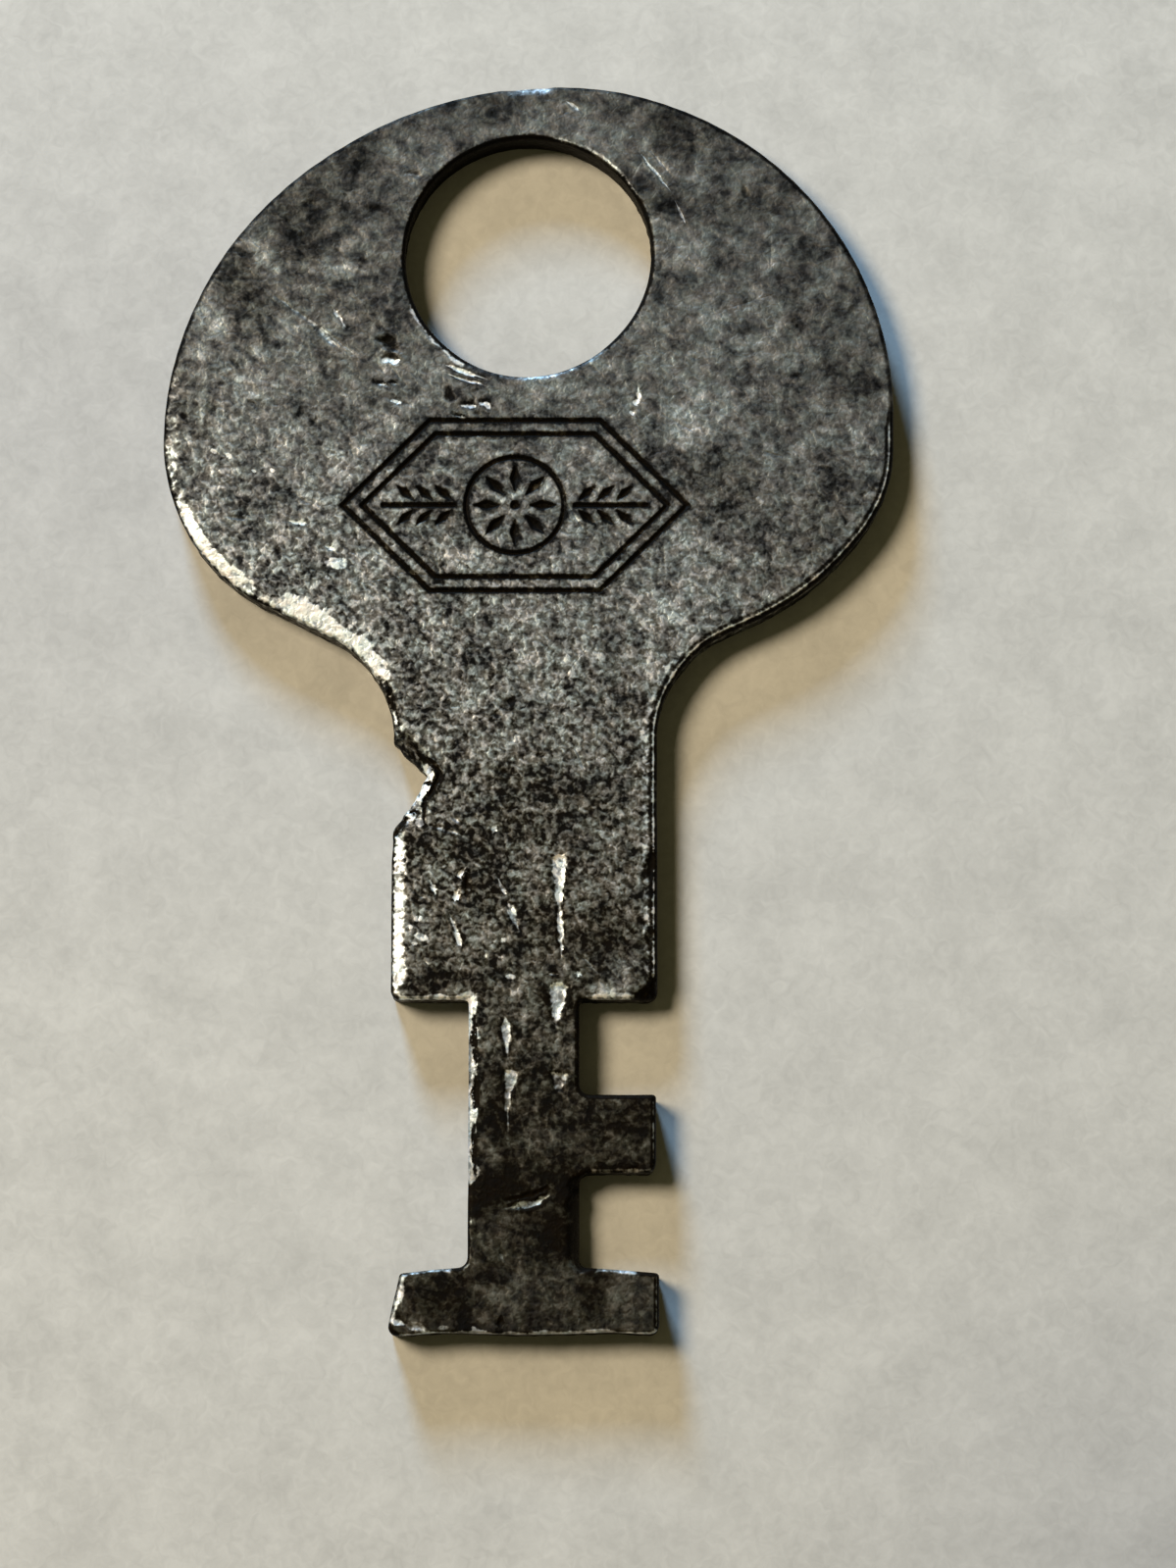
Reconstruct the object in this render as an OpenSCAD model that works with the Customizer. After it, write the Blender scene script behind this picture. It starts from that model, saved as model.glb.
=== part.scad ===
// Flat steel key, cut with one stroke of a press from cold-rolled sheet.
// It lies flat with its underside on z = 0. The middle of the ring hole is at x = 0, y = 0,
// the bow points to +Y and the tip to -Y. Millimetres.

/* [Sheet] */
// Length from the top of the bow to the end of the tip
key_len = 38.1; // [34:0.1:46]
// Thickness of the sheet
sheet_t = 1.27; // [0.9:0.01:2]

/* [Bow] */
// Width of the bow
bow_w = 22.1; // [18:0.1:27]
// From the middle of the ring hole up to the top of the bow
bow_top = 5.43; // [5.2:0.01:7]
// How far the highest point of the bow lies to the right of the ring hole
bow_crown = 0.9; // [0:0.05:2]
// From the middle of the ring hole down to the widest point of the bow
bow_waist = 5.75; // [4.5:0.05:7]
// From the middle of the ring hole down to where the bow's sides would meet the ramps
bow_low = 9.25; // [8:0.05:11]

/* [Ring hole] */
// Diameter of the ring hole
hole_d = 7.5; // [5:0.05:9]
// Width and depth of the rolled rim on the upper face
hole_rim = 0.15; // [0.05:0.01:0.25]

/* [Neck and blade] */
// Slope of the two ramps from the bow down to the blade, in degrees
ramp_angle = 26.6; // [15:0.1:35]
// Radius of the fillets between the ramps and the blade
neck_r = 3.4; // [1:0.1:4]
// Width of the blade, which the keyway guides
blade_w = 7.94; // [6.5:0.01:9.6]
// How far the blade's middle lies to the left of the ring hole
blade_shift = 0.1; // [0:0.01:0.5]
// Radius of the blade's lower left corner, which is worn
worn_r = 0.3; // [0.1:0.01:0.5]
// Radius of the corners that are still crisp
crisp_r = 0.12; // [0.05:0.01:0.3]

/* [Bitting] */
// Width of the stem between the blade and the tip
stem_w = 3.3; // [2.4:0.01:4.2]
// Radius of the notch corners at the stem
root_r = 0.3; // [0.1:0.01:0.5]
// Length of the notch between the blade and the bit
upper_gap = 2.8; // [1.8:0.05:3.6]
// Length of the bit along the key
bit_len = 2.35; // [1.5:0.05:3.2]
// How far the bit stands out from the stem
bit_reach = 2.27; // [1.2:0.01:2.6]
// Length of the notch between the bit and the tip
lower_gap = 2.74; // [1.8:0.05:3.6]
// Length of the tip along the key
tip_len = 2; // [1.2:0.05:3]
// Width of the tip
tip_w = 8; // [6.5:0.01:9.6]
// How far the tip's upper edge falls away towards its ends
tip_slope = 0.18; // [0:0.01:0.3]
// Angle by which each half of the tip's end leans back, in degrees
end_lean = 2; // [1:0.1:4]
// Radius that blends the two halves of the tip's end
end_r = 40; // [10:1:40]

/* [Nick in the left edge] */
// From where the left ramp would meet the blade down to the nick's deepest point
nick_drop = 3.3; // [3.2:0.05:4]
// Depth of the nick, which is worn rather than cut
nick_depth = 1.05; // [0.2:0.01:1.5]
// Length of the nick along the edge above its deepest point
nick_up = 1.05; // [0.4:0.05:1.1]
// Length of the nick along the edge below its deepest point
nick_down = 1.65; // [0.4:0.05:2.2]

/* [Stamped ornament] */
// Width of the six-sided border
orn_w = 10.6; // [6:0.1:12]
// Height of the six-sided border
orn_h = 5.4; // [4.4:0.1:5.6]
// Distance of the ornament's middle below the ring hole
orn_drop = 7.75; // [7.6:0.05:8.5]
// Distance of the ornament's middle to the left of the ring hole
orn_shift = 0.4; // [0:0.05:0.6]
// Width of the incised lines
line_w = 0.14; // [0.1:0.01:0.2]
// Depth of the incised lines
line_depth = 0.1; // [0.05:0.01:0.15]
// Distance between the border's two lines
line_gap = 0.42; // [0.3:0.01:0.5]
// Radius of the ring round the rosette
rosette_r = 1.55; // [1.3:0.01:1.6]
// Number of leaves in the rosette
rosette_leaves = 8; // [5:1:9]
// Number of pairs of leaves on the sprig at each side of the rosette
sprig_pairs = 3; // [2:1:4]
// Angle between a sprig's stem and its leaves, in degrees
leaf_lean = 42; // [25:1:60]
// Width of a leaf as a share of its length
leaf_ratio = 0.36; // [0.2:0.01:0.4]

/* [Hidden] */
$fn = 96;
// Largest turn of one straight step along a rounded corner, in degrees
arc_step = 4;
// Overlap of every cutter past the face that it opens
over = 0.5;

bow_x = bow_w / 2;
blade_left = -blade_shift - blade_w / 2;
blade_right = -blade_shift + blade_w / 2;
stem_left = -blade_shift - stem_w / 2;
stem_right = -blade_shift + stem_w / 2;
tip_left = -blade_shift - tip_w / 2;
tip_right = -blade_shift + tip_w / 2;
tip_end = bow_top - key_len;
end_corner = tip_end - end_r * (1 / cos(end_lean) - 1);
end_side = end_corner + tip_w / 2 * tan(end_lean);
tip_top = tip_end + tip_len;
bit_low = tip_top + lower_gap;
bit_high = bit_low + bit_len;
shoulder = bit_high + upper_gap;
neck_right = -bow_low - (bow_x - blade_right) * tan(ramp_angle);
neck_left = -bow_low - (bow_x + blade_left) * tan(ramp_angle);
// The upper left of the bow is flatter: two arcs meet on a 45 degree slant across its corner
slant = (bow_crown + bow_x + bow_top + bow_waist) / (2 + sqrt(2));
slant_r_top = (bow_crown + bow_x - slant) / tan(22.5);
slant_r_side = (bow_top + bow_waist - slant) / tan(22.5);
crown_r = min(bow_x - bow_crown, bow_top + bow_waist);
waist_r = (bow_low - bow_waist) / tan(45 - ramp_angle / 2);

// Unit vector along v
function unit(v) = v / norm(v);

// Points that round corner q between its neighbours p and n with radius q[2]. The even number
// of steps puts one point at the middle of the arc.
function round_corner(p, q, n) =
    let (at = [q[0], q[1]])
    let (u = unit([p[0], p[1]] - at))
    let (v = unit([n[0], n[1]] - at))
    let (half = acos(u * v) / 2)
    let (middle = at + unit(u + v) * q[2] / sin(half))
    let (from = at + u * q[2] / tan(half) - middle)
    let (turn = sign(v[0] * u[1] - v[1] * u[0]) * (180 - 2 * half))
    let (steps = 2 * ceil(abs(turn) / arc_step / 2))
    let (start = atan2(from[1], from[0]))
    [for (k = [0:steps]) middle + q[2] * [cos(start + turn * k / steps), sin(start + turn * k / steps)]];

// Outline through the corners [x, y, radius], each one rounded
function rounded(corners) =
    let (count = len(corners))
    [for (i = [0:count - 1])
        each round_corner(corners[(i + count - 1) % count], corners[i], corners[(i + 1) % count])];

// The corners of the blank, counter-clockwise from the lower left of the tip
tip_corners = [
    [tip_left, end_side, worn_r],
    [-blade_shift, end_corner, end_r],
    [tip_right, end_side, worn_r],
    [tip_right, tip_top - tip_slope, crisp_r],
];
bit_corners = [
    [stem_right, tip_top, root_r],
    [stem_right, bit_low, root_r],
    [stem_right + bit_reach, bit_low, crisp_r],
    [stem_right + bit_reach, bit_high, crisp_r],
    [stem_right, bit_high, root_r],
    [stem_right, shoulder, crisp_r],
    [blade_right, shoulder, crisp_r],
];
bow_corners = [
    [blade_right, neck_right, neck_r],
    [bow_x, -bow_low, waist_r],
    [bow_x, bow_top, crown_r],
    [slant - bow_x, bow_top, slant_r_top],
    [-bow_x, bow_top - slant, slant_r_side],
    [-bow_x, -bow_low, waist_r],
    [blade_left, neck_left, neck_r],
];
left_corners = [
    [blade_left, shoulder, worn_r],
    [stem_left, shoulder, crisp_r],
    [stem_left, tip_top, root_r],
    [tip_left, tip_top - tip_slope, crisp_r],
];

// The blank as it leaves the press
module blank() {
    linear_extrude(sheet_t)
        polygon(rounded(concat(tip_corners, bit_corners, bow_corners, left_corners)));
}

// Ring hole with its rolled upper rim
module ring_hole() {
    translate([0, 0, -over])
        cylinder(h = sheet_t + 2 * over, d = hole_d);
    translate([0, 0, sheet_t - hole_rim])
        cylinder(h = 2 * hole_rim, d1 = hole_d, d2 = hole_d + 4 * hole_rim);
}

// Nick worn into the left edge of the blade
module nick() {
    spread = 1 + over / nick_depth;
    translate([blade_left, neck_left - nick_drop, -over])
        linear_extrude(sheet_t + 2 * over)
            polygon([[nick_depth, 0], [-over, -nick_down * spread], [-over, nick_up * spread]]);
}

// Six-sided plate, with ends at 45 degrees, that lies inset inside the border's outer edge
module six_sides(inset) {
    half_w = orn_w / 2 - inset * sqrt(2);
    half_h = orn_h / 2 - inset;
    flat = half_w - half_h;
    polygon([[-half_w, 0], [-flat, -half_h], [flat, -half_h], [half_w, 0], [flat, half_h], [-flat, half_h]]);
}

// One line of the border
module border_line(inset) {
    difference() {
        six_sides(inset);
        six_sides(inset + line_w);
    }
}

// Pointed leaf from the origin along +X
module leaf(length) {
    half_w = length * leaf_ratio / 2;
    polygon([[0, 0], [length / 2, -half_w], [length, 0], [length / 2, half_w]]);
}

// Ring with leaves round a dot, two lines' width clear of it and one of the ring
module rosette() {
    difference() {
        circle(r = rosette_r);
        circle(r = rosette_r - line_w);
    }
    for (i = [0:rosette_leaves - 1])
        rotate(i * 360 / rosette_leaves)
            translate([3 * line_w, 0])
                leaf(rosette_r - 5 * line_w);
    circle(r = line_w);
}

// Stem with pairs of leaves, pointing away from the rosette
module sprig() {
    start = rosette_r + line_gap / 2;
    reach = orn_w / 2 - 3 * line_gap - start;
    pitch = reach / (sprig_pairs + 1);
    translate([start, -line_w / 2])
        square([reach, line_w]);
    for (i = [0:sprig_pairs - 1], side = [-1, 1])
        translate([start + line_w + i * pitch, side * line_w])
            rotate(side * leaf_lean)
                leaf(pitch + line_w);
}

// Everything that the punch sinks into the upper face
module ornament() {
    translate([-orn_shift, -orn_drop, sheet_t - line_depth])
        linear_extrude(line_depth + over) {
            border_line(0);
            border_line(line_gap);
            rosette();
            for (side = [0, 1])
                mirror([side, 0])
                    sprig();
        }
}

module key() {
    color([0.36, 0.35, 0.33])
        difference() {
            blank();
            ring_hole();
            nick();
            ornament();
        }
}

key();
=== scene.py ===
# Worn flat steel key on a pale floor. Lengths are in millimetres until the mesh is made.

import math
from collections import namedtuple

import bpy
import numpy as np
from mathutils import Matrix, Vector
from mathutils.geometry import delaunay_2d_cdt
from mathutils.kdtree import KDTree


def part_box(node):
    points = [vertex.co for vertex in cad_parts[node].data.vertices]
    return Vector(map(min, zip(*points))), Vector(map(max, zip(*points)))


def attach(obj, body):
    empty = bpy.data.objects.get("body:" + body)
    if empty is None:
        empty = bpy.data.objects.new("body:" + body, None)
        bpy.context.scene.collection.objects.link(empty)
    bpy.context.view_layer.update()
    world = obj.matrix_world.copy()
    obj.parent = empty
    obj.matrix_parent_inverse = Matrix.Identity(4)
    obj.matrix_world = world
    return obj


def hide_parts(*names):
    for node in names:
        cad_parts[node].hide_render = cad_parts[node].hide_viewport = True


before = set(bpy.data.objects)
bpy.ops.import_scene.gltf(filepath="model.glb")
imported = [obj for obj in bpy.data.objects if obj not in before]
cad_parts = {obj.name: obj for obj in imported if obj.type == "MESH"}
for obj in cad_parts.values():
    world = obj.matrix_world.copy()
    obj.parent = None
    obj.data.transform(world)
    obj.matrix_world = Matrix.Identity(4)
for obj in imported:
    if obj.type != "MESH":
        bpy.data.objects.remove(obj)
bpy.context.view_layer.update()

MM = 0.001
MICRON = 0.001 * MM

# Height of the upper face, and the radius of the ring hole, whose middle is the origin
THICK = round(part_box("key")[1].z / MM, 4)
HOLE_R = round(min(v.co.xy.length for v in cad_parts["key"].data.vertices) / MM, 3)

# Spacing of the mesh's points along the outline, on the ornament, the dents and scores, and on the two faces
EDGE_STEP = 0.085
MARK_STEP = 0.06
DENT_STEP = 0.08
SCORE_STEP = 0.06
UPPER_STEP = 0.108
LOWER_STEP = 0.17
WALL_ROWS = 9

# The underside's edge is turned in: how far it lies inside the outline, and how high up the turn begins
TURN_IN = 0.05

# Height, size and seed of each layer of unevenness of the two faces
UPPER_BUMPS = [(0.012, 5.0, 52), (0.005, 1.5, 53), (0.0035, 0.24, 54), (0.0025, 0.13, 55)]
LOWER_BUMPS = [(0.01, 4.0, 61), (0.004, 0.3, 62)]

# How many small marks are strewn over the upper face
PITS = 200
HAIRLINES = 46

# Height of the lip round a dent or score, as a share of its depth
LIP = 0.18


def edge_stretch(path, reach, bevel, roll, bare, soot, ragged=0.1, painted_reflection=0, side=0):
    """A stretch of the upper edge along a line: width and drop of its bevel and of the roll outside it.

    After the bevel and the roll come how bright the bevel is, from use and from painted highlight, and how
    dark the roll is, from dirt and from painted shade; a further value sets how light a painted reflection
    line along the roll's middle is, ragged how broken the edge is, and side how light the wall below it is
    painted, lit or shaded, from -1 to 1.
    """
    return dict(path=path, reach=reach, bevel_w=bevel[0], bevel_h=bevel[1], roll_w=roll[0], roll_h=roll[1],
                bare=bare, soot=soot, painted_reflection=painted_reflection, ragged=ragged, side=side)


def arc(radius, first, last):
    """A line along a circle about the origin, between two angles in degrees."""
    turns = np.radians(np.linspace(first, last, 2 + abs(last - first) // 10))
    return radius * np.stack([np.cos(turns), np.sin(turns)], 1)


# Upper edge that use has left alone: a faint bevel, then the roll that the press leaves, darkened as
# painted shade
PLAIN_EDGE = edge_stretch([], 0, (0.16, 0.012), (0.12, 0.12), 0, 0.8, ragged=0)

# Stretches that differ from it, the later over the earlier. Their light bevels are partly use and partly
# painted highlight, and their dark rolls and walls are partly dirt and partly painted shade.
STRETCHES = [
    # Top of the bow and the ring hole: a painted highlight at the crown, the hole's roll and wall darkened
    # as painted shade, and light lines round the hole's rim painted as highlights
    edge_stretch([(-4.6, 3.6), (-2, 5), (0, 5.4), (2.5, 4.9), (4.6, 3.7)], 1,
         (0.14, 0.01), (0.09, 0.08), 0, 0.3),
    edge_stretch([(-0.35, 5.4), (0.25, 5.4)], 0.6, (0.24, 0.09), (0.1, 0.1), 0.6, 0),
    edge_stretch(arc(HOLE_R, 0, 360), 0.8, (0.16, 0.02), (0.1, 0.12), 0, 1.3, side=-1),
    edge_stretch(arc(HOLE_R, 35, 75), 0.5, (0.17, 0.04), (0.05, 0.06), 0.6, 0.8, side=-1),
    edge_stretch(arc(HOLE_R, 208, 236), 0.5, (0.22, 0.03), (0.1, 0.1), 0.8, 1.2, side=-1),
    edge_stretch(arc(HOLE_R, 245, 305), 0.4, (0.14, 0.05), (0.08, 0.1), 0.4, 0, side=-1),
    # Right side, from the bow down to the blade: its roll darkened as painted shade, with a painted
    # reflection line along it
    edge_stretch([(9.8, -1), (10.9, -4)], 1.5, (0.2, 0.01), (0.12, 0.1), 0, 0.5),
    edge_stretch([(10.9, -6), (9.3, -9.5), (5, -12)], 1.5, (0.3, 0.02), (0.23, 0.1), 0, 1.3, painted_reflection=0.9),
    edge_stretch([(4.4, -12.6), (3.9, -15), (3.9, -22.6)], 1,
         (0.5, 0.02), (0.2, 0.1), 0.55, 1.2, ragged=0.2, painted_reflection=1),
    # Left side of the bow, polished by use, its brightest bevels lightened further as a painted highlight
    edge_stretch([(-10.9, -4.2), (-10.6, -6.1)], 1.1, (0.42, 0.05), (0.05, 0.07), 0.38, 0.9, ragged=0),
    edge_stretch([(-10.5, -6.6), (-10.2, -8)], 0.8, (0.44, 0.09), (0.04, 0.06), 0.85, 1, ragged=0),
    edge_stretch([(-10.1, -8.4), (-8.7, -10.5)], 0.9, (0.44, 0.1), (0.04, 0.05), 1.2, 0.9, ragged=0),
    edge_stretch([(-8.2, -10.8), (-7.75, -11.05)], 0.5, (0.32, 0.08), (0.04, 0.05), 0.85, 0.9, ragged=0),
    edge_stretch([(-7.2, -11.3), (-6, -11.9)], 0.8, (0.54, 0.06), (0.04, 0.05), 2.4, 0.9, ragged=0),
    edge_stretch([(-5.6, -12), (-4.8, -12.7)], 0.7, (0.5, 0.06), (0.04, 0.05), 2.4, 0.9, ragged=0),
    # Left side of the neck, with its nick: the upper flank darkened as painted shade, the lower flank
    # lightened as a painted highlight
    edge_stretch([(-4.4, -13.3), (-4.05, -14.9)], 0.5, (0.2, 0.12), (0.05, 0.1), 0.5, 0.5, ragged=0.6),
    edge_stretch([(-3.95, -15.15), (-3.3, -15.9)], 0.35, (0.44, 0.5), (0.05, 0.05), 0, 0.8, ragged=0.7),
    edge_stretch([(-3.1, -16.2), (-3.2, -16.5)], 0.3, (0.34, 0.08), (0.04, 0.05), 0.9, 0.2),
    edge_stretch([(-3.4, -16.8), (-3.65, -17.3)], 0.35, (0.36, 0.06), (0.05, 0.05), 1, 0.2),
    edge_stretch([(-3.8, -17.45), (-4, -17.7)], 0.3, (0.3, 0.25), (0.05, 0.05), 0.4, 0.8, ragged=0.6),
    # Blade, stem and tip: a painted highlight line along the tip's lower edge, painted shade in the dark
    # rolls, the chipped corner and the gap by the stem, and painted reflection lines on the right
    edge_stretch([(-4.1, -18.1), (-4.1, -22.3)], 0.4, (0.44, 0.1), (0.05, 0.08), 1, 0.8, ragged=0.3),
    edge_stretch([(-4.05, -22.5), (-3.9, -22.75)], 0.3, (0.26, 0.08), (0.08, 0.1), 0.9, 1, ragged=0.3),
    edge_stretch([(-3.6, -22.8), (-1.95, -22.8)], 0.3, (0.13, 0.03), (0.05, 0.05), 0.85, 0.1, ragged=0.3),
    edge_stretch([(-1.8, -22.95), (-1.8, -28.1)], 0.35, (0.26, 0.07), (0.03, 0.04), 1.5, 0.1, ragged=0.3),
    edge_stretch([(-1.85, -28.4), (-1.8, -30.5)], 0.35, (0.14, 0.04), (0.04, 0.06), 0.5, 0.6, ragged=0.3),
    edge_stretch([(-3.75, -30.75), (-2.4, -30.65)], 0.3, (0.12, 0.04), (0.05, 0.05), 0.8, 0.1),
    edge_stretch([(2.2, -30.75), (3.1, -30.8)], 0.3, (0.12, 0.04), (0.05, 0.05), 0.8, 0.1, ragged=0.6),
    edge_stretch([(-3.85, -30.9), (-4.1, -32.1)], 0.45, (0.22, 0.06), (0.05, 0.08), 1, 0.5),
    edge_stretch([(-3.5, -32.6), (3.7, -32.6)], 0.4, (0.08, 0.02), (0.07, 0.05), 0.9, 0),
    edge_stretch([(3.95, -31.1), (3.9, -32.3)], 0.3, (0.2, 0.04), (0.14, 0.12), 0.4, 0.8, painted_reflection=0.6),
    edge_stretch([(1.6, -28.4), (1.6, -30.4)], 0.4, (0.3, 0.45), (0.12, 0.1), 0, 1.2, ragged=1),
    edge_stretch([(1.9, -22.8), (3.2, -22.8)], 0.3, (0.16, 0.03), (0.05, 0.05), 0.7, 0.2, ragged=0.3),
    edge_stretch([(3.5, -22.75), (3.85, -22.4)], 0.4, (0.4, 0.2), (0.3, 0.15), 0, 1, ragged=0.8),
    edge_stretch([(3.9, -25.8), (3.9, -27.7)], 0.3, (0.2, 0.03), (0.14, 0.12), 0.3, 0.9, painted_reflection=0.7),
    edge_stretch([(2, -28), (3.7, -28)], 0.3, (0.15, 0.04), (0.05, 0.05), 0.75, 0.3, ragged=0.6),
]

# Knocks to the outline: place, reach, and how far it moves there
KNOCKS = [
    ((-4.1, -30.6), 2, (0.36, 0)),
    ((-3.9, -32.5), 1.6, (0, -0.14)),
    ((3.9, -32.5), 1.6, (0, -0.1)),
    ((-3.45, -16.95), 0.5, (0.1, 0)),
    ((2.7, -2.7), 6, (-0.08, 0.08)),
    ((8.8, -9.2), 3.4, (-0.16, 0.2)),
    ((5.6, -11.4), 2.4, (-0.06, 0.1)),
    ((3.85, -22.8), 0.3, (-0.05, 0.05)),
    ((3.85, -27.9), 0.3, (-0.06, 0.05)),
]

# Line round the torn nick in the blade's left edge
NICK = [(-4, -15.2), (-3, -16.1), (-3.8, -17.4)]

# A score: its line, half its greatest width, its depth, how bright its floor is, how dark the painted shadow
# beside it and, when it is not bright, its floor are, where along the line it is widest, from 0 to 1, and
# how many bright grains, painted glints, it holds
Score = namedtuple("Score", "path width depth bare soot widest beads", defaults=[0, 0, 0.5, 0])

# Scores cut into the upper face by use
SCORES = [
    Score([(-8.3, -0.8), (-6.6, -2.05), (-4.8, -3.4)], 0.08, 0.012, 0.5),
    Score([(-6.5, -2.15), (-6.2, -2.5), (-5.65, -2.9)], 0.1, 0.015, 0.6),
    Score([(-5.95, -1.6), (-5.5, -2.3)], 0.09, 0.015, 0.7, widest=0.2),
    Score([(-2.75, -3.3), (-1.9, -3.62), (-1.1, -3.88)], 0.09, 0.02, 1.1, 0.3),
    Score([(-2.6, -3.62), (-1.9, -3.85), (-1.15, -4.08)], 0.07, 0.02, 0.9, 0.3),
    Score([(3.2, 3.55), (4.5, 1.85)], 0.07, 0.01, 0.75),
    Score([(3.65, 3.45), (4.4, 2.5)], 0.06, 0.01, 0.45),
    Score([(4.4, 1.9), (4.85, 0.85)], 0.06, 0.01, 0.7),
    Score([(1.05, 5), (1.6, 4.6)], 0.1, 0.02, 0.7),
    Score([(3.3, -3.9), (3.35, -4.5)], 0.1, 0.02, 0.85, widest=0.8),
    Score([(-7.45, -8.2), (-6.94, -8.27), (-6.55, -8.32)], 0.1, 0.02, 0.8, widest=0.7),
    Score([(-9.2, -8.09), (-8.4, -8.17)], 0.07, 0.015, 0.45),
    Score([(-6.15, -9), (-5.85, -9.15)], 0.08, 0.02, 1),
    Score([(-7.2, -7.3), (-6.3, -7.9)], 0.05, 0.01, 0.35),
    Score([(-3.3, -17.5), (-2.5, -17.65), (-1.7, -17.95)], 0.09, 0.02, 0.6),
    Score([(-2.3, -17.25), (-1.95, -17.5)], 0.07, 0.02, 0.5),
    Score([(-0.9, -17.5), (-1.08, -17.85)], 0.13, 0.02, 1, 0.3),
    Score([(0.95, -18.4), (0.9, -20.5)], 0.29, 0.05, 1.2, 0.7, widest=0.05),
    Score([(0.95, -19.8), (1.03, -21.8)], 0.13, 0.04, 1, 0.7, widest=0.3),
    Score([(-0.95, -19), (-0.62, -19.65)], 0.09, 0.02, 0.9, 0.3, widest=0.8),
    Score([(-0.62, -19.8), (-0.4, -20.3), (-0.18, -20.9)], 0.16, 0.03, 0.95, 0.4, widest=0.3),
    Score([(-1.78, -18.75), (-2.05, -19.05), (-1.9, -19.25)], 0.09, 0.03, 0.9, 1),
    Score([(-2.05, -19.4), (-2.18, -19.9)], 0.13, 0.04, 1, 1),
    Score([(-2.38, -19.98), (-2.24, -20.45), (-1.93, -21.25)], 0.12, 0.03, 0.9, 0.5, widest=0.8),
    Score([(-1.72, -18.8), (-1.86, -19.9)], 0.12, 0.06, 0, 1),
    Score([(-2.92, -19.15), (-2.7, -19.68)], 0.12, 0.03, 0.95, 0.5),
    Score([(-3.6, -19.35), (-2.6, -20.1)], 0.06, 0.01, 0.45),
    Score([(-1.25, -21.2), (-1.28, -21.75)], 0.08, 0.01, 0.5),
    Score([(1.55, -21.4), (2.2, -22.1)], 0.07, 0.01, 0.5),
    Score([(0.55, -21.98), (1, -22.02)], 0.07, 0.02, 0.6, 0.8),
    Score([(1.35, -21.98), (1.66, -22.05)], 0.12, 0.02, 0.8, 0.5),
    Score([(0.92, -22.3), (0.84, -23.8)], 0.36, 0.06, 1.1, 0.7, widest=0.02),
    Score([(-0.66, -23.2), (-0.56, -24.7)], 0.17, 0.04, 1.1, 0.5, widest=0.25),
    Score([(-0.45, -24.85), (-0.58, -25.8)], 0.3, 0.05, 1, 0.5, widest=0.05),
    Score([(-0.58, -25.4), (-0.55, -27.1)], 0.13, 0.03, 0.8, 0.4, widest=0.1),
    Score([(0.98, -24.9), (0.88, -25.7)], 0.34, 0.05, 0.75, 0.4, widest=0.05),
    Score([(-0.85, -29), (0, -28.85), (0.45, -28.7), (0.9, -28.45)], 0.17, 0.05, 0.7, 1),
    Score([(-0.75, -28.75), (0.2, -28.55), (0.85, -28.22)], 0.1, 0.05, 0, 1.2),
    Score([(-0.8, -30), (-0.65, -30.6)], 0.12, 0.02, 0.4),
    Score([(2.7, -27.95), (3.3, -27.75)], 0.1, 0.03, 0.8, 0.6),
    # Dark burr that runs down the neck and round the nick, darkened as painted shade in its crease, with
    # painted glints
    Score([(-4.6, -12.85), (-4.17, -13.35), (-4.1, -13.8), (-3.93, -14.4), (-3.82, -14.9)],
          0.08, 0.06, 0, 1.2, beads=0.9),
    Score([(-3.82, -14.85), (-3.36, -15.15), (-3.18, -15.45), (-2.82, -15.68), (-2.62, -15.95),
           (-2.72, -16.22), (-2.88, -16.55), (-3.08, -16.8), (-3.1, -17.55), (-3.3, -17.62)],
          0.08, 0.07, 0, 1.3),
    Score([(-3.45, -17.35), (-3.62, -17.3), (-3.8, -17.6), (-4, -17.85), (-4.05, -18.1)],
          0.06, 0.05, 0, 1.2),
    Score([(-3.65, -15), (-3.45, -15.3), (-3.3, -15.6)], 0.05, 0.03, 0.4, beads=0.5),
    Score([(-3.12, -16.24), (-2.78, -16.3)], 0.05, 0.03, 0, 1.2),
    Score([(-3.6, -17.2), (-3.38, -17.12), (-3.2, -17.2)], 0.035, 0.02, 0, 1),
    # Dark bites along the stem's left edge and the right edges of blade and stem, darkened as painted shade
    Score([(-1.6, -23), (-1.58, -23.8), (-1.52, -24.9)], 0.07, 0.03, 0, 1),
    Score([(-1.6, -24.9), (-1.5, -25.3), (-1.55, -26.2)], 0.1, 0.05, 0, 1),
    Score([(-1.6, -26.2), (-1.55, -27.3), (-1.5, -28.3)], 0.07, 0.03, 0, 0.9),
    Score([(3.7, -18.2), (3.66, -19.3)], 0.14, 0.04, 0, 1.2),
    Score([(3.68, -20.5), (3.6, -21.2)], 0.12, 0.04, 0, 1.1),
    Score([(3.3, -22.75), (3.62, -22.45), (3.72, -22.1)], 0.12, 0.05, 0, 1),
]

# A dent: its place, half its length and width, its turn in degrees, its depth, how bright its lower wall is,
# a painted highlight, and how dark the rest of it is, from painted shade and dirt
Dent = namedtuple("Dent", "at size turn depth bare soot", defaults=[0.8])

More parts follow.
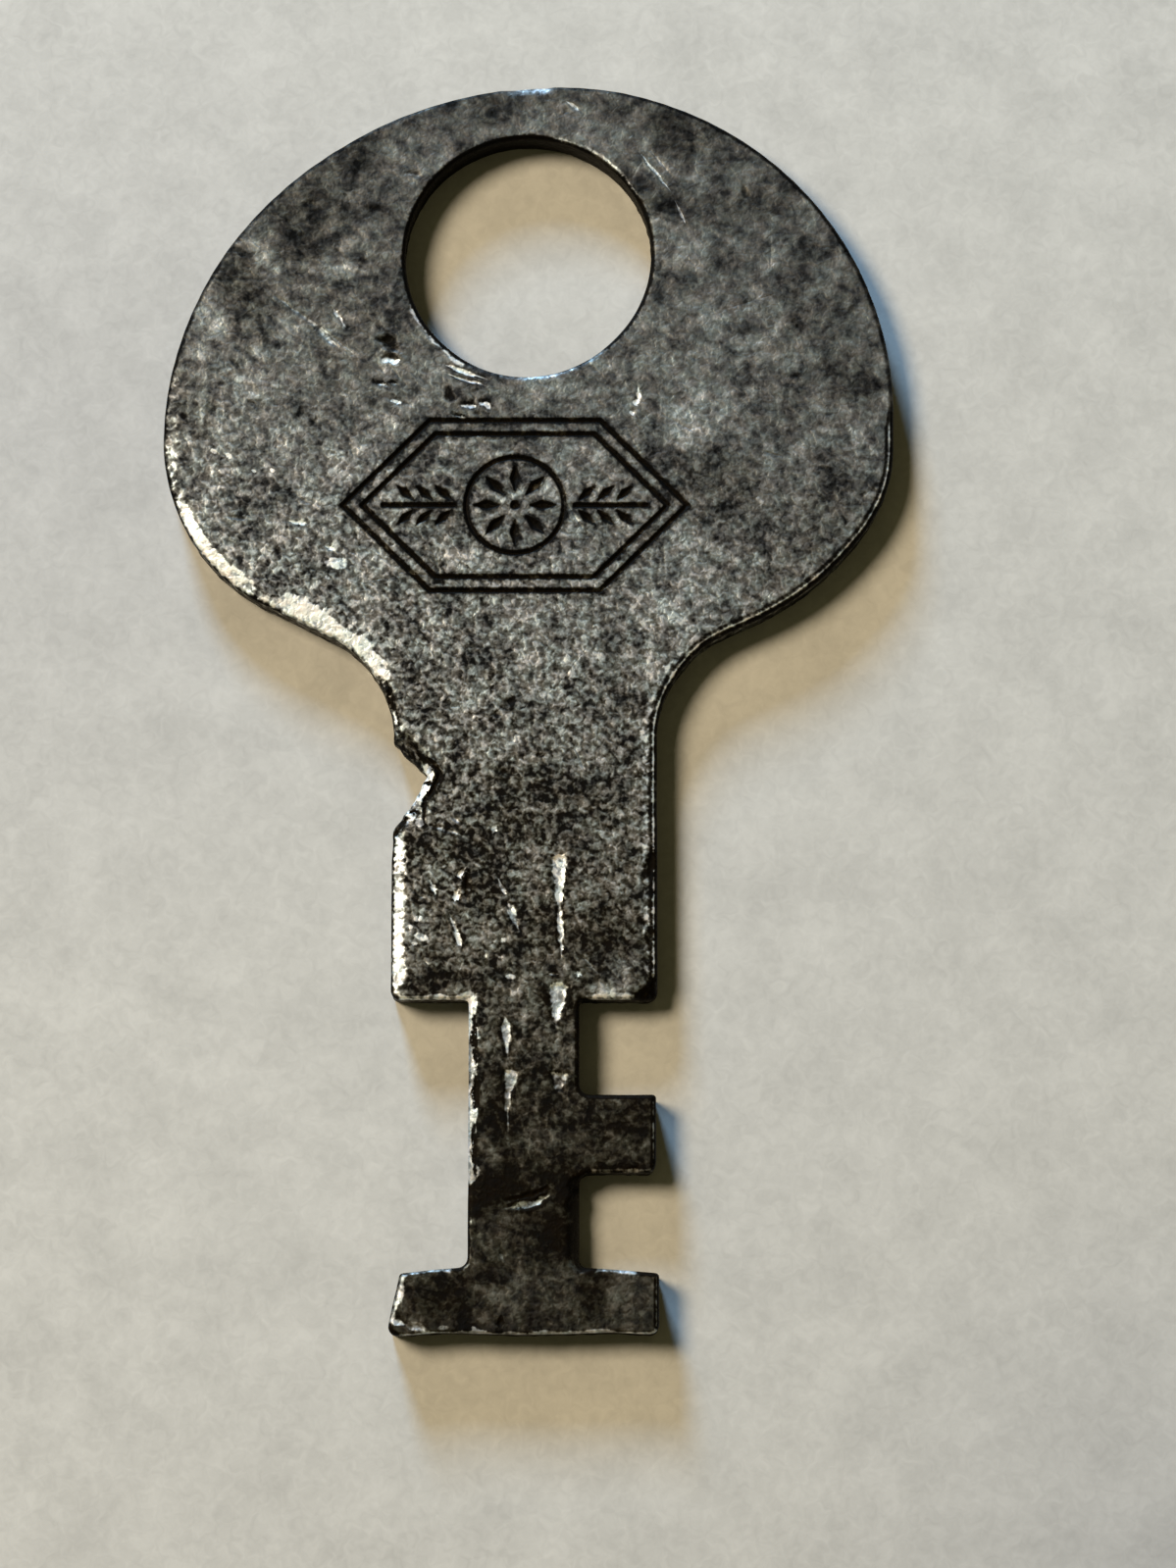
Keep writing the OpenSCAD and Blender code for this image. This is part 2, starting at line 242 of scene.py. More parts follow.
# Dents knocked into the upper face
DENTS = [Dent(*row) for row in [
    ((-4.25, -2.75), (0.36, 0.24), -30, 0.07, 0.3),
    ((-4.17, -3.2), (0.32, 0.2), 5, 0.05, 1),
    ((-4.5, -3.95), (0.3, 0.1), -25, 0.03, 0.85),
    ((-4.1, -3.95), (0.2, 0.08), -20, 0.02, 0.8),
    ((-4, -4.45), (0.24, 0.14), 10, 0.02, 0.9, 0.3),
    ((-2.4, -4.3), (0.14, 0.28), 10, 0.03, 0, 0.8),
    ((-1.8, -4.62), (0.26, 0.16), -10, 0.03, 1.1),
    ((-1.32, -4.56), (0.15, 0.2), 20, 0.03, 1.1),
    ((-2.1, -4.95), (0.3, 0.08), -25, 0.03, 0.8),
    ((-3.55, 2.65), (0.3, 0.12), 10, 0.02, 0.5, 0.3),
    ((3.28, -4.45), (0.12, 0.18), 0, 0.03, 1.1),
    ((3.15, -4.85), (0.1, 0.12), 0, 0.02, 0.9, 0.3),
    ((-0.55, -13.84), (0.24, 0.17), 30, 0.04, 0, 0.9),
    ((-0.92, -14.14), (0.16, 0.12), 0, 0.03, 0, 0.6),
    ((-0.7, -15.92), (0.34, 0.14), -15, 0.03, 0, 0.7),
    ((0.36, -15.41), (0.16, 0.07), 0, 0.02, 0, 0.7),
    ((-3.76, -32.3), (0.22, 0.18), 0, 0.04, 1.3, 0.2),
    ((-3.25, -32.42), (0.36, 0.15), -12, 0.03, 0.8, 0),
    ((-0.75, -32.3), (0.09, 0.22), 0, 0.06, 0.2, 1.2),
    ((3.2, -27.85), (0.2, 0.1), 20, 0.04, 0.8),
    ((-1.75, -25.1), (0.14, 0.24), 0, 0.05, 0.2),
    ((3.7, -22.55), (0.2, 0.24), -40, 0.1, 0, 1),
]]

# Shallow dark pits on the left of the bow: place, half length and width, turn, and how dark
DARK_PITS = [
    ((-8.9, -3.35), (0.3, 0.08), -52, 0.5),
    ((-9.3, -3.96), (0.2, 0.1), 10, 0.4),
    ((-8.38, -4.09), (0.24, 0.12), -20, 0.4),
    ((-9.61, -4.7), (0.3, 0.15), 60, 0.4),
    ((-8.3, -4.56), (0.36, 0.12), -5, 0.45),
    ((-10.44, -5.03), (0.18, 0.1), -45, 0.6),
    ((-9.92, -5.64), (0.42, 0.25), 20, 0.3),
    ((-6.92, -4.87), (0.1, 0.2), 0, 0.5),
    ((-6.66, 1.65), (0.25, 0.15), 0, 0.3),
    ((-4.76, 1.54), (0.26, 0.22), 0, 0.35),
    ((-5.02, -0.14), (0.2, 0.16), 0, 0.35),
]
DENTS += [Dent(at, size, turn, 0.01, 0, soot) for at, size, turn, soot in DARK_PITS]

# Patches of the upper face lightened, partly steel polished by use and partly painted glints: place, half
# length and width, turn, and how light
PATCHES = [
    ((-5.79, -9.54), (0.37, 0.2), 0, 0.95),
    ((-6.04, -9.98), (0.1, 0.07), -30, 0.8),
    ((-8.3, -6.69), (0.09, 0.06), -20, 0.9),
    ((-7.74, -6.66), (0.1, 0.07), -20, 0.9),
    ((-9.06, -6.22), (0.12, 0.08), -40, 0.8),
    ((-9.51, -6.08), (0.12, 0.08), -40, 0.8),
    ((-5.6, -2.2), (0.08, 0.1), 0, 0.7),
    ((-3.25, -20.35), (0.14, 0.1), 30, 0.9),
    ((-3.15, -20.9), (0.22, 0.12), -20, 0.9),
    ((-3.5, -20.6), (0.12, 0.08), 0, 0.7),
    ((-3.35, -21.1), (0.1, 0.08), 0, 0.9),
    ((-0.5, -22.1), (0.17, 0.09), 0, 0.9),
    ((-0.72, -21), (0.1, 0.08), 0, 0.7),
    ((-0.8, -21.5), (0.09, 0.07), 0, 0.5),
    ((-1.95, -21.9), (0.09, 0.09), 0, 0.4),
    ((-2.96, -15.93), (0.13, 0.3), 20, 1.4),
    ((-3.22, -17.45), (0.14, 0.14), 0, 1.3),
    ((-4.3, -13), (0.16, 0.22), -30, 0.9),
    ((-6.4, -10.9), (0.8, 0.25), -25, 0.45),
    ((-5.1, -11.7), (0.6, 0.3), -40, 0.45),
    ((-9.6, -7.2), (0.5, 0.8), -20, 0.35),
    ((-0.33, -14.89), (0.1, 0.17), -20, 0.45),
    ((-1.61, -14.19), (0.2, 0.1), -40, 0.4),
    ((-3.25, -32.42), (0.36, 0.15), -12, 0.6),
    ((-2.45, -32.46), (0.2, 0.08), 0, 0.7),
    ((-1.55, -32.48), (0.09, 0.08), 0, 1),
]

# Stains on the upper face: place, half length and width, turn, and how dark. Some are pale instead.
STAINS = [
    ((-8.7, -1.2), (0.9, 1.6), 20, 0.42),
    ((-6.5, 2), (3.4, 2.2), 40, 0.12),
    ((-6.8, 1.3), (1.6, 0.9), 40, 0.22),
    ((-5.9, 3), (1.5, 0.6), 40, 0.25),
    ((-1.1, 4.9), (0.9, 0.6), 10, 0.22),
    ((2, 4.8), (1.3, 0.5), -10, 0.18),
    ((4.6, 4), (1, 0.7), -40, 0.3),
    ((6.7, 1.7), (0.9, 0.6), 0, 0.2),
    ((3.9, 1.8), (0.5, 0.4), 0, 0.25),
    ((9.8, -3.9), (0.8, 0.9), 0, 0.2),
    ((5.7, -6.9), (1.3, 1), 0, 0.28),
    ((8.2, -9.3), (1.6, 0.8), 50, 0.16),
    ((9.4, -7.6), (0.9, 0.9), 0, 0.15),
    ((-10.2, -4.5), (0.6, 1.2), 0, 0.12),
    ((-0.4, -16.2), (0.9, 0.6), -20, 0.3),
    ((1.4, -16.6), (1.2, 0.5), -20, 0.3),
    ((-2.4, -18.2), (1.3, 0.6), 0, 0.35),
    ((0.1, -17.5), (1, 0.6), 0, 0.36),
    ((-1.2, -19.6), (0.5, 0.8), 0, 0.25),
    ((0.6, -20.6), (0.5, 0.7), 0, 0.25),
    ((2.3, -20.7), (1, 0.7), 0, 0.3),
    ((-2.7, -22.2), (1.1, 0.35), 0, 0.3),
    ((-1.2, -28.6), (1.2, 0.55), 10, 0.42),
    ((-2.4, -31.6), (1, 0.5), 40, 0.22),
    ((-0.7, -26.1), (0.5, 1.2), 0, 0.25),
    ((0.5, -27.8), (1.3, 0.5), 0, 0.2),
    ((1.1, -29.3), (0.4, 0.9), 0, 0.3),
    ((2, -31.3), (0.4, 0.9), 0, 0.3),
    ((2.9, -26.3), (0.9, 0.4), 20, 0.15),
    ((0.3, -23.2), (1.2, 0.5), 0, -0.25),
    ((-0.5, -30.2), (0.5, 0.8), 10, -0.1),
    ((1.2, -26.9), (1.2, 0.4), -10, -0.12),
    ((-3.2, 3.2), (1.4, 0.9), 20, -0.2),
    ((5.75, 2.6), (1, 0.7), 0, -0.16),
    ((-5, -1.3), (1.3, 0.9), -30, -0.2),
    ((-6.3, -5.5), (2.6, 1.8), 0, -0.08),
    ((-3, -9.8), (2.5, 1), 0, -0.12),
    ((2.6, -22.05), (1.2, 0.6), 15, -0.55),
    ((-3.3, -20.8), (0.6, 0.7), 0, -0.25),
    ((0.1, -31.5), (1.2, 0.6), 30, -0.16),
]

# Colours of the paper's fibres
PAPER = [(0.32, (0.51, 0.51, 0.493)), (0.68, (0.65, 0.65, 0.629))]

# Painted shade on the paper: middle, reach, and how much of its colour is left in the middle
SHADES = [
    ((20, -40), 13, (0.84, 0.855, 0.9)),
    ((-15, -5), 18, (0.88, 0.885, 0.915)),
]


def smooth(x):
    """Rises smoothly from 0 to 1 as x does."""
    x = np.clip(x, 0, 1)
    return x * x * (3 - 2 * x)


def bell(x, width):
    """1 at x = 0, and falling away at both sides."""
    return np.exp(-(x / width) ** 2)


def noise(points, size, seed):
    """Smooth random values from -1 to 1 at 2-D points, with features about size across."""
    cells = 128
    table = np.random.default_rng(seed).uniform(-1, 1, (cells, cells))
    place = np.asarray(points) / size
    cell = np.floor(place).astype(int)
    part = smooth(place - cell)
    (x0, y0), (x1, y1) = (cell % cells).T, ((cell + 1) % cells).T
    low = table[x0, y0] * (1 - part[:, 0]) + table[x1, y0] * part[:, 0]
    high = table[x0, y1] * (1 - part[:, 0]) + table[x1, y1] * part[:, 0]
    return low * (1 - part[:, 1]) + high * part[:, 1]


def bumps(points, layers):
    """Layers of noise, each from 0 to twice its height."""
    return sum(height * (1 + noise(points, size, seed)) for height, size, seed in layers)


def wobble(points, size, seed):
    """Smooth random moves of 2-D points, up to 1 each way."""
    return np.stack([noise(points, size, seed), noise(points, size, seed + 100)], 1)


def direction(degrees):
    """Unit vector at an angle from +X towards +Y."""
    return math.cos(math.radians(degrees)), math.sin(math.radians(degrees))


def from_mark(points, at, size, turn):
    """Distance of each point from the middle of a turned mark, 1 where the mark ends."""
    c, s = direction(turn)
    away = points - np.array(at)
    return np.linalg.norm(np.stack([away @ (c, s), away @ (-s, c)], 1) / size, axis=1)


def from_line(points, path):
    """Distance of each point from an open line, and the share of the line's length at the nearest place."""
    path = np.asarray(path, float)
    lengths = np.linalg.norm(np.diff(path, axis=0), axis=1)
    best = np.full(len(points), np.inf)
    share = np.zeros(len(points))
    for i, length in enumerate(lengths):
        side = (path[i + 1] - path[i]) / length
        along = np.clip((points - path[i]) @ side, 0, length)
        away = np.linalg.norm(points - path[i] - along[:, None] * side, axis=1)
        nearer = away < best
        best[nearer] = away[nearer]
        share[nearer] = (lengths[:i].sum() + along[nearer]) / lengths.sum()
    return best, share


def in_box(points, corners, margin):
    """Which points lie in the box round the corners, with a margin."""
    low, high = corners.min(0) - margin, corners.max(0) + margin
    return np.flatnonzero(((points > low) & (points < high)).all(1))


def inside_of(points, loops):
    """Whether each point lies inside the closed loops."""
    within = np.zeros(len(points), bool)
    for loop in loops:
        for a, b in zip(loop, np.roll(loop, -1, 0)):
            crosses = (a[1] > points[:, 1]) != (b[1] > points[:, 1])
            if crosses.any():
                x = a[0] + (points[:, 1] - a[1]) / (b[1] - a[1]) * (b[0] - a[0])
                within ^= crosses & (points[:, 0] < x)
    return within


def flat_outlines(mesh, height, up):
    """Closed outlines, metal on the left, of the faces at one height that face up (1) or down (-1)."""
    corners = [tuple(round(c / MM, 4) for c in v.co[:2]) for v in mesh.vertices]
    sides = set()
    for face in mesh.polygons:
        if face.normal.z * up > 0.99 and abs(face.center.z / MM - height) < 0.001:
            loop = [corners[i] for i in face.vertices][::up]
            sides.update(zip(loop, loop[1:] + loop[:1]))
    follow = dict(sorted(side for side in sides if side[::-1] not in sides))
    outlines = []
    while follow:
        outline = [min(follow)]
        while outline[-1] in follow:
            outline.append(follow.pop(outline[-1]))
        outlines.append(np.array(outline[:-1]))
    return outlines


def unit(vectors):
    """The vectors, each made 1 long."""
    return vectors / np.maximum(np.linalg.norm(vectors, axis=1, keepdims=True), 1e-9)


def sides_of(loop):
    """Vectors from each point of a closed curve to the next."""
    return np.roll(loop, -1, 0) - loop


def left_of(loop):
    """Unit vectors to the left of a closed curve."""
    ahead = unit(np.roll(loop, -1, 0) - np.roll(loop, 1, 0))
    return np.stack([-ahead[:, 1], ahead[:, 0]], 1)


def blur(values, reach):
    """Values round a closed curve, each averaged with reach neighbours at both sides."""
    weights = np.exp(-0.5 * (np.arange(-reach, reach + 1) * 2 / reach) ** 2)
    total = sum(w * np.roll(values, k, 0) for k, w in zip(range(-reach, reach + 1), weights))
    return total / weights.sum()


def into_metal(loop):
    """Unit vectors from an outline into the metal, even round its corners."""
    return unit(blur(left_of(loop), 3))


def split_sides(corners, longest):
    """The corners of a closed curve, with more points between them where a side is longer than that."""
    sides = sides_of(corners)
    parts = np.maximum(1, np.ceil(np.linalg.norm(sides, axis=1) / longest)).astype(int)
    return np.concatenate([p + s * (np.arange(n) / n)[:, None] for p, s, n in zip(corners, sides, parts)])


def curve_through(knots, fine):
    """Points about fine apart on a curve through the knots, smooth but for its sharp corners."""
    sharp = math.cos(math.radians(30))
    sides = sides_of(knots)
    ahead = unit(sides)
    behind = np.roll(ahead, 1, 0)
    bend = np.sum(ahead * behind, 1) > sharp
    leave = np.where(bend[:, None], unit(ahead + behind), ahead)
    arrive = np.roll(np.where(bend[:, None], unit(ahead + behind), behind), -1, 0)
    curve = []
    for p, s, a, b in zip(knots, sides, leave, arrive):
        length = math.hypot(*s)
        count = max(1, round(length / fine))
        t = np.arange(count)[:, None] / count
        curve.append(p + s * t * t * (3 - 2 * t) + length * (a * t * (1 - t) ** 2 - b * t * t * (1 - t)))
    return np.concatenate(curve)


def smooth_outline(corners, step):
    """Points about step apart on a smooth closed curve through the corners, closer where it turns."""
    curve = blur(curve_through(split_sides(corners, longest=0.5), fine=0.01), 5)
    sides = sides_of(curve)
    ahead = unit(sides)
    length = np.linalg.norm(sides, axis=1)
    turn = np.linalg.norm(ahead - np.roll(ahead, 1, 0), axis=1) / np.maximum(length, 1e-6)
    crowding = 1 + np.minimum(0.15 * blur(turn, 5), 1.2)
    measure = np.concatenate([[0], np.cumsum(length * crowding)])
    count = round(measure[-1] / step)
    places = np.interp(np.arange(count) / count * measure[-1], measure, np.arange(len(measure)))
    whole = places.astype(int)
    part = (places - whole)[:, None]
    return curve[whole] * (1 - part) + curve[(whole + 1) % len(curve)] * part


def tree_of(points):
    """A search tree over 2-D points."""
    tree = KDTree(len(points))
    for i, (x, y) in enumerate(points.tolist()):
        tree.insert((x, y, 0), i)
    tree.balance()
    return tree


def nearest_of(tree, points):
    """The index of the tree's nearest point to each point, and its distance."""
    found = [tree.find((x, y, 0))[1:] for x, y in points.tolist()]
    index, distance = zip(*found)
    return np.array(index), np.array(distance)


class Edges:
    """The outlines' points with the direction into the metal and the shape of the upper edge at each."""

    def __init__(self, outlines):
        outlines = [knocked(outline) for outline in outlines]
        self.counts = [len(outline) for outline in outlines]
        self.starts = np.cumsum([0] + self.counts)
        self.points = np.concatenate(outlines)
        self.inward = np.concatenate([into_metal(outline) for outline in outlines])
        self.tree = tree_of(self.points)
        names = [name for name in PLAIN_EDGE if name not in ("path", "reach")]
        shape = {name: np.full(len(self.points), float(PLAIN_EDGE[name])) for name in names}
        for stretch in STRETCHES:
            away = from_line(self.points, stretch["path"])[0]
            near = smooth(1.5 * (1 - away / stretch["reach"]))
            for name in names:
                shape[name] += near * (stretch[name] - shape[name])
        uneven = 0.12 * noise(self.points, 1.1, 11) + shape["ragged"] * 0.45 * noise(self.points, 0.28, 12)
        shape["bevel_w"] *= 1 + uneven
        shape["bevel_h"] *= 1 + 0.7 * uneven
        self.shape = shape

    def loops(self):
        """The points of each outline by itself."""
        return [self.points[a:b] for a, b in zip(self.starts, self.starts[1:])]

    def nearest(self, points):
        """Distance into the metal of each point, negative outside it, and the nearest outline point."""
        index = nearest_of(self.tree, points)[0]
        side = np.sign(np.sum((points - self.points[index]) * self.inward[index], 1))
        best = np.full(len(points), np.inf)
        loop = np.searchsorted(self.starts, index, side="right") - 1
        first, count = self.starts[loop], np.array(self.counts)[loop]
        for step in (-1, 1):
            a = self.points[index]
            b = self.points[first + (index - first + step) % count]
            along = np.clip(np.sum((points - a) * (b - a), 1) / np.sum((b - a) ** 2, 1), 0, 1)
            best = np.minimum(best, np.linalg.norm(points - a - along[:, None] * (b - a), axis=1))
        return side * best, index


def knocked(outline):
    """An outline with the small unevenness and the knocks that use has given it."""
    near_nick = smooth(1.4 - from_line(outline, NICK)[0])
    lost = 0.008 * (1 + noise(outline, 1.4, 21)) + 0.004 * (1 + noise(outline, 0.4, 22))
    lost += near_nick * 0.045 * (1 + noise(outline, 0.22, 23))
    moved = outline + into_metal(outline) * lost[:, None]
    for at, reach, move in KNOCKS:
        away = np.linalg.norm(outline - np.array(at), axis=1)
        moved += smooth(1 - away / reach)[:, None] * np.array(move)
    return moved


def edge_drop(depth, shape):
    """How far the upper face falls at a distance from the outline."""
    bevel = np.clip(1 - depth / shape["bevel_w"], 0, 1)
    roll = np.clip(1 - depth / shape["roll_w"], 0, 1)
    return shape["bevel_h"] * bevel ** 1.15 + shape["roll_h"] * (1 - np.sqrt(1 - roll ** 2))


def edge_rows(edges):
    """Rows of points that follow the outlines across the roll and the bevel."""
    shape = edges.shape
    depths = [shape["roll_w"] * (1 - math.sin(math.radians(angle))) for angle in (70, 48, 26, 0)]
    bevel = np.maximum(shape["bevel_w"] - shape["roll_w"], 0.1)
    depths += [shape["roll_w"] + bevel * share for share in (0.35, 0.7, 1.05)]
    rows = []
    for depth in depths:
        row = edges.points + edges.inward * depth[:, None]
        rows.append(row[edges.nearest(row)[0] > 0.93 * depth])
    return rows


class Sieve:
    """Keeps the points that lie clear of those kept before."""

    def __init__(self, edges):
        margin = 1
        self.edges = edges
        self.low = edges.points.min(0) - margin
        self.cell = 0.02
        size = np.ptp(edges.points, axis=0) + 2 * margin
        self.taken = np.zeros(np.ceil(size / self.cell).astype(int), bool)
        self.kept = []

    def cells(self, points):
        return np.floor((points - self.low) / self.cell).astype(int)

    def hex_grid(self, step):
        """Points of a triangular grid that fills the box round the outlines."""
        low, high = self.edges.points.min(0), self.edges.points.max(0)
        xs = np.arange(low[0], high[0], step)
        ys = np.arange(low[1], high[1], step * math.sqrt(3) / 2)
        grid = np.stack(np.meshgrid(xs, ys), 2)
        grid[1::2, :, 0] += step / 2
        return grid.reshape(-1, 2)

    def add(self, points, gap):
        """Keeps those of the points that are free, about a gap apart, and blocks the room round them."""
        at = self.cells(points)
        points = points[~self.taken[at[:, 0], at[:, 1]]]
        first = np.unique(np.floor((points - self.low) / gap).astype(int), axis=0, return_index=True)[1]
        points = points[np.sort(first)]
        self.block(points, gap)
        self.kept.append(points)

    def block(self, points, gap):
        """Keeps other points a gap away from these."""
        reach = math.ceil(gap / self.cell)
        at = self.cells(points)
        for dx in range(-reach, reach + 1):
            for dy in range(-reach, reach + 1):
                if math.hypot(dx, dy) * self.cell <= gap:
                    self.taken[at[:, 0] + dx, at[:, 1] + dy] = True

    def deeper_than(self, depth):
        """The kept points that lie so deep in the metal."""
        points = np.concatenate(self.kept)
        return points[self.edges.nearest(points)[0] > depth]


def triangulate(loops, inner):
    """Triangles between closed loops, through the inner points. The second loop goes round the hole."""
    points = np.concatenate([*loops, inner])
    sides, start = [], 0
    for loop in loops:
        sides += [(start + i, start + (i + 1) % len(loop)) for i in range(len(loop))]
        start += len(loop)
    out, _, faces, origins, _, _ = delaunay_2d_cdt([Vector(p) for p in points], sides, [], 1, 1e-6)
    if len(out) != len(points):
        raise ValueError(f"{len(points)} points came back as {len(out)}")
    source = np.array([origin[0] for origin in origins])
    faces = source[np.array(faces)]
    around_hole = (faces >= len(loops[0])) & (faces < start)
    faces = faces[~around_hole.all(1)]
    a, b, c = (points[faces[:, k]] for k in range(3))
    turn = (b[:, 0] - a[:, 0]) * (c[:, 1] - a[:, 1]) - (b[:, 1] - a[:, 1]) * (c[:, 0] - a[:, 0])
    faces[turn < 0] = faces[turn < 0][:, ::-1]
    return points, faces


def random_marks():
    """Pits and hairlines strewn over the face."""
    rng = np.random.default_rng(31)
    low, high = (-10.5, -32.5), (10.5, 5.2)
    pits = []
    for _ in range(PITS):
        size = rng.uniform(0.05, 0.12)
        pits.append(Dent(rng.uniform(low, high), (size * rng.uniform(1, 2.5), size),
                         rng.uniform(0, 180), size * rng.uniform(0.08, 0.15), 0, rng.uniform(0.1, 0.4)))
    lines = []
    for _ in range(HAIRLINES):
        at, turn, length = rng.uniform(low, high), rng.normal(-35, 40), rng.uniform(0.5, 2.4)
        way = length / 2 * np.array(direction(turn))
        width, depth, bare = rng.uniform(0.03, 0.05), rng.uniform(0.004, 0.009), rng.uniform(0.15, 0.4)
        lines.append(Score([at - way, at + way], width, depth, bare))
    return pits, lines


def mark_rings(at, size, turn):
    """Points on rings in and round a turned mark."""
    c, s = direction(turn)
    rings = [np.zeros((1, 2))]
    for share in (0.4, 0.75, 1.05, 1.35):
        count = max(6, round(2 * math.pi * share * max(size) / DENT_STEP))
        angle = 2 * np.pi * np.arange(count) / count
        rings.append(share * np.stack([np.cos(angle), np.sin(angle)], 1) * size)
    return np.concatenate(rings) @ np.array([[c, s], [-s, c]]) + np.array(at)


def score_rows(mark):
    """Points on rows along a score."""
    path = np.asarray(mark.path, float)
    rows = []
    for a, b in zip(path[:-1], path[1:]):
        length = np.linalg.norm(b - a)
        side = (b - a) / length
        across = np.array([-side[1], side[0]]) * mark.width
        along = np.arange(0, length, SCORE_STEP)[:, None] * side
        rows += [a + along + across * share for share in (0, 0.55, -0.55, 1, -1, 1.5, -1.5)]
    return np.concatenate(rows)


def press_ornament(points, ornament, drop, soot):
    """Sinks the ornament into the upper face, about as deep as it is in the frame."""
    wall = 0.05
    outline = np.concatenate(ornament["loops"])
    near = in_box(points, outline, 0.2)
    here = points[near]
    away = nearest_of(tree_of(outline), here)[1]
    within = inside_of(here, ornament["loops"])
    pressed = 0.85 + 0.15 * noise(here, 1.7, 41) - 0.25 * smooth((here[:, 0] - 1.5) / 3)
    floor = ornament["depth"] * pressed * smooth(away / wall)
    drop[near] += np.where(within, floor, -0.03 * ornament["depth"] * bell(away, wall))
    # The grooves and a thin band round them are darkened: dirt in the grooves, and painted shade over their
    # lit walls and rims
    soot[near] = np.maximum(soot[near], np.where(within, 1.2, 0.9 * smooth(1.2 - away / wall)))


def lay_scores(points, scores, drop, bare, soot):
    """Cuts the scores into the upper face."""
    for path, width, depth, bright, dark, widest, beads in scores:
        path = np.asarray(path, float)
        near = in_box(points, path, 2.5 * width)
        here = points[near]
        away, share = from_line(here + min(0.03, 0.25 * width) * wobble(here, 0.2, 81), path)
        taper = np.minimum(share / max(widest, 0.01), (1 - share) / (1 - widest))
        taper = np.clip(taper, 0.05, 1) ** 0.85
        away = away / (width * taper)
        cut = smooth(2.5 * (1 - away)) * np.clip(2 * taper, 0, 1)
        # side is the raised lip beside the score, darkened as a painted shadow
        side = bell(away - 1.3, 0.35) * np.clip(2 * taper, 0, 1)
        drop[near] += depth * (cut - LIP * side)
        # Bright grains in dark scores are painted glints
        grains = beads * cut * smooth(2.5 * noise(here, 0.2, 82))
        bare[near] = np.maximum(bare[near], bright * cut if bright else grains)
        laid = dark * np.maximum(side, 0 if bright else cut * (1 - grains))
        soot[near] = np.maximum(soot[near], laid)
        if not bright:
            bare[near] *= 1 - laid


def lay_dents(points, dents, drop, bare, soot):
    """Knocks the dents into the upper face."""
    for at, size, turn, depth, bright, dark in dents:
        near = np.flatnonzero(np.abs(points - np.array(at)).max(1) < 2 * max(size))
        here = points[near] + 0.55 * min(size) * wobble(points[near], 0.17, 83)
        away = from_mark(here, at, size, turn)
        pit = np.clip(1 - away ** 2, 0, 1) ** 1.2
        drop[near] += depth * (pit - LIP * bell(away - 1.15, 0.2))
        # The lower part is lightened as a painted highlight, and the rest is darkened as painted shade
        below = smooth(0.6 - 1.6 * (here[:, 1] - at[1]) / min(size))
        inside = smooth(2.5 * (1.1 - away))
        bare[near] = np.maximum(bare[near], bright * inside * below)
        soot[near] = np.maximum(soot[near], inside * (1 - min(1, bright) * below) * dark)


def lay_patches(points, bare, soot):
    """Lightens the patches, polished steel and painted glints, and lays the stains."""
    for at, size, turn, bright in PATCHES:
        ragged = min(0.5, 0.5 * max(size)) * noise(points, 0.25, 84)
        rubbed_and_glint = bright * smooth((1.3 - from_mark(points, at, size, turn)) / 0.6 + ragged)
        bare[:] = np.maximum(bare, rubbed_and_glint)
        if bright > 1:
            soot *= 1 - smooth(rubbed_and_glint)
    for at, size, turn, dark in STAINS:
        laid = dark * smooth(1.5 - from_mark(points, at, size, turn) + 0.35 * noise(points, 0.5, 57))
        soot += laid * (1 - np.clip(soot, 0, 1))


def upper_surface(points, edges, ornament, dents, scores):
    """Height of the upper face at each point, how light from use and painted glints, how dark from dirt and
    painted shade.
    """
    depth, index = edges.nearest(points)
    depth = np.maximum(depth, 0)
    shape = {name: value[index] for name, value in edges.shape.items()}
    drop = edge_drop(depth, shape)
    broken = smooth(1 - depth / 0.5) * shape["ragged"]
    drop += broken * bumps(points, [(0.03, 0.17, 51)])
    drop += bumps(points, UPPER_BUMPS)
    # The bevel is lightened by use and as a painted highlight, the roll is darkened as painted shade, and a
    # light line along the roll's middle is a painted reflection
    inner_side = depth + 0.08 * noise(points, 0.45, 56)
    bare = shape["bare"] * smooth(1.5 * (1.3 - inner_side / shape["bevel_w"]))
    soot = shape["soot"] * smooth(2.5 * (1.25 - depth / shape["roll_w"]))
    painted_reflection = shape["painted_reflection"] * bell(depth / shape["roll_w"] - 0.56, 0.2)
    soot *= 1 - np.minimum(painted_reflection, 1)
    bare = np.maximum(bare * (1 - 0.8 * np.minimum(soot, 1)), 0.9 * painted_reflection)
    press_ornament(points, ornament, drop, soot)
    lay_dents(points, dents, drop, bare, soot)
    lay_patches(points, bare, soot)
    lay_scores(points, scores, drop, bare, soot)
    return THICK - drop, np.clip(bare, 0, 1.2), np.clip(soot, -1, 1.3)


def upper_part(edges, ornament):
    """The upper face: points, heights, light from use and painted glints, dark from dirt and painted shade,
    and triangles.
    """
    pits, hairlines = random_marks()
    dents, scores = DENTS + pits, SCORES + hairlines
    row_gap, ornament_gap, ring_gap, grid_gap = 0.03, 0.025, 0.04, 0.07
    sieve = Sieve(edges)
    sieve.block(edges.points, row_gap)
    for row in edge_rows(edges):
        sieve.add(row, row_gap)
    for shift in (0.045, 0, -0.04):
        sieve.add(np.concatenate([loop + shift * left_of(loop) for loop in ornament["loops"]]), ornament_gap)
    for mark in scores:
        sieve.add(score_rows(mark), row_gap)
    for at, size, turn, *_ in dents + [patch for patch in PATCHES if max(patch[1]) < 0.3]:
        sieve.add(mark_rings(at, size, turn), ring_gap)
    sieve.add(sieve.hex_grid(UPPER_STEP), grid_gap)
    points, faces = triangulate(edges.loops(), sieve.deeper_than(0.004))
    z, bare, soot = upper_surface(points, edges, ornament, dents, scores)
    return points, z, bare, soot, faces


